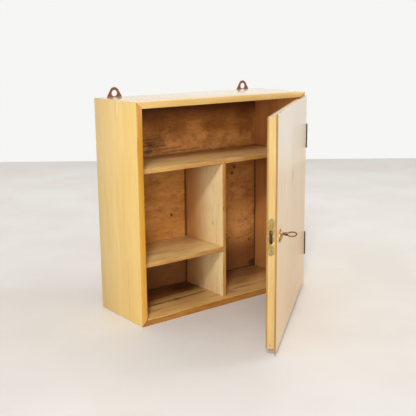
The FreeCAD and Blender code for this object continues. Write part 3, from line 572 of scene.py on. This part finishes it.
grime = [clouds_of((140, 88, 38), 0.5, (0.006, 0.01, 0.04), 0.48, 0.7),
         spot_at((92, 52, 22), 0.8, (low[0] + 0.003, low[1], 0.2095), (0.002, 0.01, 0.005), 0.9),
         crack_from((112, 64, 24), 0.7, (high[0], low[1], low[2]), (high[0], low[1], high[2]), 0.0018, 0.002)]
front = ply_edge("divider_edge", (230, 186, 114), (190, 132, 64), "X", low[0], high[0] - low[0], grime)
dress(eased("divider", 0.0007), divider_face,
      (front, facing(0, -1, 0)), (divider_dark, facing(1, 0, 0)))
print("shelves and divider dressed")

# %% [markdown]
# ## The door
# The door is a frame with a thin sheet on each side. The outer sheet is a pinkish, polished veneer and laps over the
# box, so its edge shows as a brown lip. The frame's edge is pale yellow wood. All of it is swung open, so the grain
# is turned by the same angle as the door, read from the axis of the key.

# %% Door finishes and pieces
out = Vector(joints["key_turn"]["axis"])
DOOR_SWING = math.atan2(out.x, -out.y)
into_edge = Vector((math.cos(DOOR_SWING), math.sin(DOOR_SWING), 0))
STAIN = Vector((0.0430, -0.2304, 0.297))
veneer = wood("door_veneer", (224, 200, 164), (218, 189, 148), swing=DOOR_SWING, ring=0.02, waviness=0.09, rings=0.15,
              fibres=0.16, coat=0.3, rough=(0.32, 0.44), marks=[
    # Partly the veneer's own tone, partly a painted reflection: tan towards the bottom and whiter towards the top,
    # where the white room shows in the polish.
    fade_from((214, 174, 120), 0.8, (0, 0, 0.36), (0, 0, 0.10)),
    fade_from((220, 205, 183), 0.8, (0, 0, 0.30), (0, 0, 0.41)),
    spot_at((220, 104, 98), 0.75, STAIN, (0.010, 0.010, 0.020), 1.4),
    crack_from((226, 170, 150), 0.7, STAIN + Vector((-0.002, -0.0016, 0.022)), STAIN + Vector((0.002, 0.0016, -0.024)),
               0.0024, 0.001),
])
lip_edge = wood("lip_edge", (188, 142, 74), (156, 108, 46), swing=DOOR_SWING, ring=0.004)
lip_top = wood("lip_top", (236, 212, 176), (214, 172, 122), swing=DOOR_SWING, run="x", ring=0.02, rings=0.1, marks=[
    clouds_of((136, 84, 44), 0.9, (0.008, 0.008, 0.008), 0.52, 0.6),
])
frame_edge = wood("frame_edge", (220, 190, 122), (208, 170, 98), swing=DOOR_SWING, ring=0.008, rings=0.15, marks=[
    spot_at((110, 70, 34), 0.9, (-0.1173, -0.3436, 0.022), (0.004, 0.004, 0.0035)),
])
rail_edge = wood("rail_edge", (240, 220, 172), (222, 190, 130), swing=DOOR_SWING, run="x", ring=0.008, rings=0.15)
inner_sheet = wood("inner_sheet", (222, 186, 132), (200, 158, 102), swing=DOOR_SWING, ring=0.014, waviness=0.09,
                   rings=0.2)
dress(eased("door_face_panel", 0.0009), lip_edge, (veneer, facing(*out)), (lip_top, facing(0, 0, 1)),
      (inner_sheet, facing(*-out)))
dress(eased("door_inner_panel", 0.0006), lip_edge, (inner_sheet, facing(*-out)))
for stile in ("door_lock_stile", "door_hinge_stile"):
    dress(eased(stile, 0.0004), frame_edge)
for rail in ("door_top_rail", "door_bottom_rail"):
    dress(eased(rail, 0.0004), rail_edge)
print("door open by", round(math.degrees(DOOR_SWING), 2), "degrees")

# %% [markdown]
# ## Old metal
# Brass that is never polished goes brown in the hollows and stays bright where it is touched. Steel rusts in
# patches, and rust is not metallic at all. One recipe covers both: a bright metal, a dull layer over it, and a cloud
# that says where the dull layer lies. Roughness and metallic follow the same cloud, so the patches also feel
# different in the light.


# %% Metal recipe
def old_metal(name, bright, dull, covered, cloud=260, shine=0.3, dullness=0.65, metal_left=0.35, pits=0.35):
    """A metal under a broken dull layer; covered is about how much of it the layer hides."""
    finish = bpy.data.materials.new(name)
    finish.use_nodes = True
    tree = finish.node_tree
    shader = tree.nodes["Principled BSDF"]
    where = node(tree, "TexCoord").outputs["Object"]
    patches = noise(tree, where, cloud, 4, 0.6)
    fine = noise(tree, where, cloud * 9, 3)
    both = sums(tree, "MULTIPLY_ADD", sums(tree, "SUBTRACT", fine, 0.5), 0.4, patches)
    middle = 0.72 - 0.44 * covered
    mask = spread(tree, both, middle - 0.1, middle + 0.1)
    paint = over(tree, mask, colour(*bright), colour(*dull))
    paint = over(tree, sums(tree, "MULTIPLY", mask, fine), paint, colour(*(0.62 * value for value in dull)))
    feed(tree, shader.inputs["Base Color"], paint)
    feed(tree, shader.inputs["Metallic"], spread(tree, mask, 0, 1, 1.0, metal_left, smooth=False))
    feed(tree, shader.inputs["Roughness"], spread(tree, both, 0.2, 0.8, shine, dullness, smooth=False))
    bump = node(tree, "Bump", {"Height": both, "Strength": pits, "Distance": 0.0003}).outputs[0]
    feed(tree, shader.inputs["Normal"], bump)
    return finish


brass = old_metal("aged_brass", (216, 186, 104), (186, 158, 84), 0.6, cloud=120, shine=0.42, pits=0.12)
bronze = old_metal("brown_brass", (216, 172, 100), (142, 96, 50), 0.45, shine=0.24)
key_metal = old_metal("key_brown", (176, 128, 84), (96, 60, 36), 0.55, shine=0.2)
rust = old_metal("rusted_steel", (160, 104, 66), (142, 82, 48), 0.85, metal_left=0.1, dullness=0.8)
hinge_steel = old_metal("hinge_steel", (128, 112, 96), (74, 52, 38), 0.75, metal_left=0.3)
dark_steel = old_metal("bolt_steel", (112, 92, 68), (70, 48, 30), 0.7, cloud=160, pits=0.15)
bright_steel = old_metal("screw_steel", (172, 170, 160), (136, 126, 106), 0.4, shine=0.25, dullness=0.45,
                         metal_left=0.8)
print("metals:", [item.name for item in (brass, bronze, key_metal, rust, hinge_steel, bright_steel)])

# %% Metal plates and hinges
dress(eased("left_hanger", 0.0003, 0.0004), rust)
dress(eased("right_hanger", 0.0003, 0.0004), rust)
dress(eased("lock_faceplate", 0.0003, 0.0011), brass)
dress(eased("strike_plate", 0.0002, 0.004), bright_steel)
dress(eased("lock_bolt", 0.0004, 0.004), dark_steel)
for level in ("upper", "lower"):
    dress(eased(f"{level}_hinge_carcass_leaf", 0.0002, 0.006), hinge_steel)
    dress(eased(f"{level}_hinge_door_leaf", 0.0002, 0.006), hinge_steel)
print("plates, hinges and bolt dressed")

# %% [markdown]
# ## Screws, pins and nails
# Each screw is modelled once: a round head with a countersink, a shank and a point, all pulled out of one cylinder
# with Extrude and Scale, and a slot pushed into the head. Its copies then go to the places of the CAD screws. A head
# lies where a CAD screw is widest, so the places are measured from the CAD pieces and not typed in.


# %% Model a slotted screw
def model_screw(head, sink, shank, length, slot):
    """A screw at the origin with its head's face at height 0 and its point down."""
    deselect()
    bpy.ops.mesh.primitive_cylinder_add(vertices=28, radius=head, depth=0.0002, location=(0, 0, -0.0001))
    piece = bpy.context.object
    bpy.ops.object.transform_apply(location=True)
    bpy.ops.object.mode_set(mode="EDIT")
    pick(piece, "faces", lambda face: face.normal.z < -0.9)
    for drop, scale in ((sink, shank / head), (length * 0.6, 1), (length * 0.25, 0.15)):
        bpy.ops.mesh.extrude_region_move(TRANSFORM_OT_translate={"value": (0, 0, -drop)})
        bpy.ops.transform.resize(value=(scale, scale, 1))
    if slot:
        for side in (-1, 1):
            bpy.ops.mesh.select_all(action="SELECT")
            bpy.ops.mesh.bisect(plane_co=(side * slot / 2, 0, 0), plane_no=(1, 0, 0))
        pick(piece, "faces", lambda face: face.normal.z > 0.9 and abs(face.calc_center_median().x) < slot / 2)
        bpy.ops.mesh.extrude_region_move(TRANSFORM_OT_translate={"value": (0, 0, -0.28 * head)})
    bpy.ops.mesh.select_all(action="SELECT")
    bpy.ops.mesh.normals_make_consistent(inside=False)
    bpy.ops.object.mode_set(mode="OBJECT")
    bpy.ops.object.shade_smooth_by_angle(angle=math.radians(40))
    return piece


def solids(node_name):
    """The corners of each separate solid of a CAD group."""
    mesh = bmesh.new()
    mesh.from_mesh(nodes[node_name].data)
    bmesh.ops.remove_doubles(mesh, verts=mesh.verts, dist=0.000002)
    left = set(mesh.verts)
    found = []
    while left:
        reached, island = [left.pop()], []
        while reached:
            vert = reached.pop()
            island.append(tuple(vert.co))
            for edge in vert.link_edges:
                other = edge.other_vert(vert)
                if other in left:
                    left.remove(other)
                    reached.append(other)
        found.append(np.array(island))
    mesh.free()
    return found


def head_of(points):
    """Middle of the head's face, outward direction, head radius and length of one fastener."""
    middle = points.mean(axis=0)
    axis = np.linalg.svd(points - middle)[2][0]
    height = (points - middle) @ axis
    width = np.linalg.norm(points - middle - np.outer(height, axis), axis=1)
    if height[width.argmax()] < 0:
        axis, height = -axis, -height
    rim = points[width > 0.9 * width.max()].mean(axis=0)
    face = rim + axis * (height.max() - (rim - middle) @ axis)
    return Vector(face), Vector(axis), width.max(), np.ptp(height)


def fasten(node_name, finish, slotted=True):
    """Replaces a CAD group of fasteners by detailed ones in the same places."""
    places = [head_of(points) for points in solids(node_name)]
    _, _, head, length = places[0]
    model = model_screw(head, 0.4 * head, 0.5 * head, 0.8 * length, 0.3 * head if slotted else 0)
    copies = []
    for number, (face, axis, _, _) in enumerate(places):
        copy = bpy.data.objects.new(f"{node_name}_{number}", model.data.copy())
        bpy.context.scene.collection.objects.link(copy)
        turn = axis.to_track_quat("Z", "Y").to_matrix().to_4x4() @ Matrix.Rotation(0.9 + 2.1 * number, 4, "Z")
        copy.data.transform(Matrix.Translation(face) @ turn)
        copies.append(copy)
    bpy.data.objects.remove(model)
    take(copies[0])
    for copy in copies:
        copy.select_set(True)
    bpy.ops.object.join()
    piece = bpy.context.object
    piece.name = f"{node_name}_finished"
    stand_in(piece, node_name)
    return dress(piece, finish)


for group_name in ("hinge_carcass_screws", "hinge_door_screws", "strike_screws", "faceplate_screws"):
    fasten(group_name, bright_steel)
fasten("hanger_screws", rust)
fasten("back_panel_nails", rust, slotted=False)
fasten("escutcheon_pins", brass, slotted=False)
print("fasteners in place")

# %% [markdown]
# ## The escutcheon
# A domed brass plate guards the keyhole. A UV sphere cut in half would give the dome but not its flat rim, so it
# starts as a disc: the rim is raised, the face inset, and ring after ring is pulled up and drawn in along a quarter
# circle. A Boolean then cuts the keyhole.

# %% Escutcheon
KEY_AXIS = Vector(joints["key_turn"]["pos_m"])
UP = Vector((0, 0, 1))
lock_frame = Matrix((into_edge, UP, out)).transposed().to_4x4()
low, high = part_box("escutcheon")
PLATE_RADIUS = (high[2] - low[2]) / 2
PLATE_MIDDLE = Vector((KEY_AXIS.x, KEY_AXIS.y, (low[2] + high[2]) / 2))
RIM, DOME, RISE = 0.0009, 0.0104, 0.0036
deselect()
bpy.ops.mesh.primitive_circle_add(vertices=64, radius=PLATE_RADIUS, fill_type="NGON")
plate = bpy.context.object
plate.name = "escutcheon_finished"
bpy.ops.object.mode_set(mode="EDIT")
bpy.ops.mesh.extrude_region_move(TRANSFORM_OT_translate={"value": (0, 0, RIM)})
bpy.ops.mesh.inset(thickness=PLATE_RADIUS - DOME)
DOME_STEPS, DOME_TURN = 9, math.radians(80)
for step in range(DOME_STEPS):
    before, after = (DOME_TURN * (step + more) / DOME_STEPS for more in (0, 1))
    lift = RISE * (math.sin(after) - math.sin(before)) / math.sin(DOME_TURN)
    draw = math.cos(after) / math.cos(before)
    bpy.ops.mesh.extrude_region_move(TRANSFORM_OT_translate={"value": (0, 0, lift)})
    bpy.ops.transform.resize(value=(draw, draw, 1))
bpy.ops.mesh.select_all(action="SELECT")
bpy.ops.mesh.normals_make_consistent(inside=False)
bpy.ops.object.mode_set(mode="OBJECT")
print("escutcheon has", len(plate.data.polygons), "faces before its keyhole")

# %% Keyhole and place
deselect()
KEY_LIFT = KEY_AXIS.z - PLATE_MIDDLE.z
HOLE_RADIUS, HOLE_DROP, HOLE_FLARE = 0.0031, 0.0075, 1.5
bpy.ops.mesh.primitive_cylinder_add(vertices=32, radius=HOLE_RADIUS, depth=0.02, location=(0, KEY_LIFT, 0))
cutter = bpy.context.object
bpy.ops.object.transform_apply(location=True)
bpy.ops.object.mode_set(mode="EDIT")
pick(cutter, "faces", lambda face: face.normal.y < -0.97)
bpy.ops.mesh.extrude_region_move(TRANSFORM_OT_translate={"value": (0, -HOLE_DROP, 0)})
bpy.ops.transform.resize(value=(HOLE_FLARE, 1, 1))
bpy.ops.object.mode_set(mode="OBJECT")
hole = plate.modifiers.new("keyhole", "BOOLEAN")
hole.object = cutter
hole.operation = "DIFFERENCE"
take(plate)
bpy.ops.object.modifier_apply(modifier="keyhole")
bpy.data.objects.remove(cutter)
plate.data.transform(Matrix.Translation(PLATE_MIDDLE) @ lock_frame)
bpy.ops.object.shade_smooth_by_angle(angle=math.radians(35))
stand_in(plate, "escutcheon")
dress(plate, bronze)
print("escutcheon stands", round(1000 * (RIM + RISE), 1), "mm proud")

# %% [markdown]
# ## The key
# The key is turned from one bar: a shank with a collar, drawn out ring by ring. Its bow is an oval loop, a torus
# whose wire is flattened, and its bit is a small block with a slot for the ward. The three are joined to one piece,
# because a key is one casting.

# %% Key shank
SHANK, SHANK_OUT = 0.0025, 0.0135
corners = np.array([corner.co for corner in nodes["key"].data.vertices])
depths = (corners - np.array(KEY_AXIS)) @ np.array(out)
deselect()
bpy.ops.mesh.primitive_circle_add(vertices=32, radius=0.8 * SHANK, fill_type="NGON")
key = bpy.context.object
bpy.ops.object.mode_set(mode="EDIT")
bpy.ops.transform.translate(value=(0, 0, depths.min()))
profile = [(0.004, 0.8), (0, 1), (SHANK_OUT - 0.0044 - depths.min() - 0.004, 1), (0.0002, 1.25), (0.0006, 1.44),
           (0.0008, 1.44), (0.0006, 1.15), (0.0006, 1.44), (0.0006, 1.4), (0.001, 0.95)]
drawn = 0.8
for lift, wide in profile:
    bpy.ops.mesh.extrude_region_move(TRANSFORM_OT_translate={"value": (0, 0, lift)})
    bpy.ops.transform.resize(value=(wide / drawn, wide / drawn, 1))
    drawn = wide
bpy.ops.mesh.select_all(action="SELECT")
bpy.ops.mesh.normals_make_consistent(inside=False)
bpy.ops.object.mode_set(mode="OBJECT")
print("key reaches from", round(1000 * depths.min(), 1), "to", round(1000 * depths.max(), 1), "mm along its axis")

# %% Key bow and bit
BOW, WIRE, TILT = 0.0082, 0.0012, math.radians(14)
BIT_REACH, BIT_THICK, WARD_HALF, WARD_DEEP = 0.008, 0.0024, 0.0006, 0.0025
deselect()
bpy.ops.mesh.primitive_torus_add(major_radius=BOW, minor_radius=WIRE, major_segments=56, minor_segments=16,
                                 location=(0, 0, SHANK_OUT + BOW), rotation=(math.pi / 2, 0, 0))
bow = bpy.context.object
bpy.ops.object.transform_apply(location=True, rotation=True)
bpy.ops.object.mode_set(mode="EDIT")
pick(bow, "faces", lambda face: face.calc_center_median().z < SHANK_OUT + 0.3 * BOW)
bpy.ops.transform.resize(value=(1, 1.25, 1))
bpy.ops.object.mode_set(mode="OBJECT")
BIT_DEEP, BIT_WIDE = depths.min() + 0.0064, 0.0045
deselect()
bpy.ops.mesh.primitive_cube_add(size=1, location=(BIT_REACH / 2, 0, BIT_DEEP))
bit = bpy.context.object
bpy.ops.transform.resize(value=(BIT_REACH, BIT_THICK, BIT_WIDE))
bpy.ops.object.transform_apply(location=True, scale=True)
bpy.ops.object.mode_set(mode="EDIT")
for side in (-1, 1):
    bpy.ops.mesh.select_all(action="SELECT")
    bpy.ops.mesh.bisect(plane_co=(0, 0, BIT_DEEP + side * WARD_HALF), plane_no=(0, 0, 1))
pick(bit, "faces", lambda face: face.normal.x > 0.9 and abs(face.calc_center_median().z - BIT_DEEP) < WARD_HALF)
bpy.ops.mesh.extrude_region_move(TRANSFORM_OT_translate={"value": (-WARD_DEEP, 0, 0)})
bpy.ops.object.mode_set(mode="OBJECT")
take(key)
bow.select_set(True)
bit.select_set(True)
bpy.ops.object.join()
key = bpy.context.object
key.name = "key_finished"
key.data.transform(Matrix.Translation(KEY_AXIS) @ lock_frame @ Matrix.Rotation(TILT, 4, "Z"))
bpy.ops.object.shade_smooth_by_angle(angle=math.radians(35))
stand_in(key, "key")
dress(key, key_metal)
print("key joined from shank, bow and bit")

# %% [markdown]
# ## What stays as the CAD drew it
# The lock's case, its cap and spring, the hinge pins and the loose tongues in the mitres sit inside other pieces or
# hardly show. Their shapes are right, so they only take a finish.

# %% Inner pieces
INNER = {"mitre_tongues": inner_wall, "upper_hinge_pin": hinge_steel, "lower_hinge_pin": hinge_steel,
         "lock_case": bright_steel, "lock_cap": bright_steel, "bolt_spring": bright_steel}
for node_name, finish in INNER.items():
    nodes[node_name].data.materials.clear()
    nodes[node_name].data.materials.append(finish)
bare = [name for name, item in nodes.items() if not item.hide_render and name not in INNER and name != "back_panel"]
print("CAD pieces still without a finish:", bare)

# %% [markdown]
# ## Floor and light
# The cabinet stands on a pale floor in front of a white room. The light comes softly from the upper left and the
# front: the shadow of the upper shelf falls down the divider at about forty-nine degrees. One lamp makes that
# shadow. Two wider ones, beside the camera and to the right, reach into the box and onto the door as bright walls
# would; their cones are narrow, so that the floor near them does not glow. A long lamp that points straight down
# behind the cabinet keeps the far floor as pale as the near floor, and a white world fills the rest. The world is
# brighter to the camera and in reflections than as a lamp, so that the room looks white without bleaching the wood.

# %% Floor
FLOOR_FAR, FLOOR_NEAR, FLOOR_HALF = 1.955, -4.0, 6.0
deselect()
bpy.ops.mesh.primitive_plane_add(size=1)
ground = bpy.context.object
ground.name = "floor"
ground.data.transform(Matrix.Rotation(-HEADING, 4, "Z") @ Matrix.Translation((0, (FLOOR_FAR + FLOOR_NEAR) / 2, -0.0002))
                      @ Matrix.Diagonal((2 * FLOOR_HALF, FLOOR_FAR - FLOOR_NEAR, 1, 1)))
paint = bpy.data.materials.new("pale_floor")
paint.use_nodes = True
tree = paint.node_tree
where = node(tree, "TexCoord").outputs["Object"]
patches = spread(tree, noise(tree, where, 3, 5), 0.35, 0.65)
feed(tree, tree.nodes["Principled BSDF"].inputs["Base Color"],
     over(tree, patches, colour(232, 228, 223), colour(226, 221, 214)))
tree.nodes["Principled BSDF"].inputs["Roughness"].default_value = 0.6
ground.data.materials.append(paint)
print("floor reaches", FLOOR_FAR, "m behind the cabinet")

# %% Lamp and world
LAMP_AWAY, LAMP_AIM = 3.2, Vector((0, 0, 0.22))
FAR_PLACE, FAR_WIDE, FAR_DEEP = Vector((0, 1.3, 1.6)), 5, 1
FAR_SPREAD, FAR_POWER, FILL = math.radians(110), 7, 0.56
LAMPS = {
    "window_light": ((-0.62, -0.68, 0.78), 0.4, 180, 42),
    "room_light": ((-0.62, -0.78, 0.20), 1.2, 60, 3.4),
    "right_light": ((0.95, -0.42, 0.30), 1.2, 60, 3.9),
}
for lamp_name, (towards, wide, cone, energy) in LAMPS.items():
    towards = Vector(towards).normalized()
    bpy.ops.object.light_add(type="AREA", location=LAMP_AIM + LAMP_AWAY * towards)
    lamp = bpy.context.object
    lamp.name = lamp_name
    lamp.data.size = wide
    lamp.data.spread = math.radians(cone)
    lamp.data.energy = energy
    lamp.rotation_euler = towards.to_track_quat("Z", "Y").to_euler()
bpy.ops.object.light_add(type="AREA", location=Matrix.Rotation(-HEADING, 3, "Z") @ FAR_PLACE)
far_light = bpy.context.object
far_light.name = "far_light"
far_light.data.shape = "RECTANGLE"
far_light.data.size, far_light.data.size_y = FAR_WIDE, FAR_DEEP
far_light.data.spread = FAR_SPREAD
far_light.data.energy = FAR_POWER
far_light.rotation_euler = (0, 0, -HEADING)
world = bpy.data.worlds.new("white_room")
bpy.context.scene.world = world
world.use_nodes = True
tree = world.node_tree
tree.nodes.clear()
path = node(tree, "LightPath").outputs
mirrored = sums(tree, "MAXIMUM", path["Is Glossy Ray"], path["Is Transmission Ray"])
seen = sums(tree, "MAXIMUM", path["Is Camera Ray"], mirrored)
fill = node(tree, "Background", {"Color": (1, 0.99, 0.975, 1), "Strength": FILL}).outputs[0]
room = node(tree, "Background", {"Color": colour(246, 246, 244), "Strength": 1.0}).outputs[0]
mixed = node(tree, "MixShader", {0: seen, 1: fill, 2: room}).outputs[0]
feed(tree, node(tree, "OutputWorld").inputs["Surface"], mixed)
print("lamps:", {lamp_name: energy for lamp_name, (*_, energy) in LAMPS.items()})
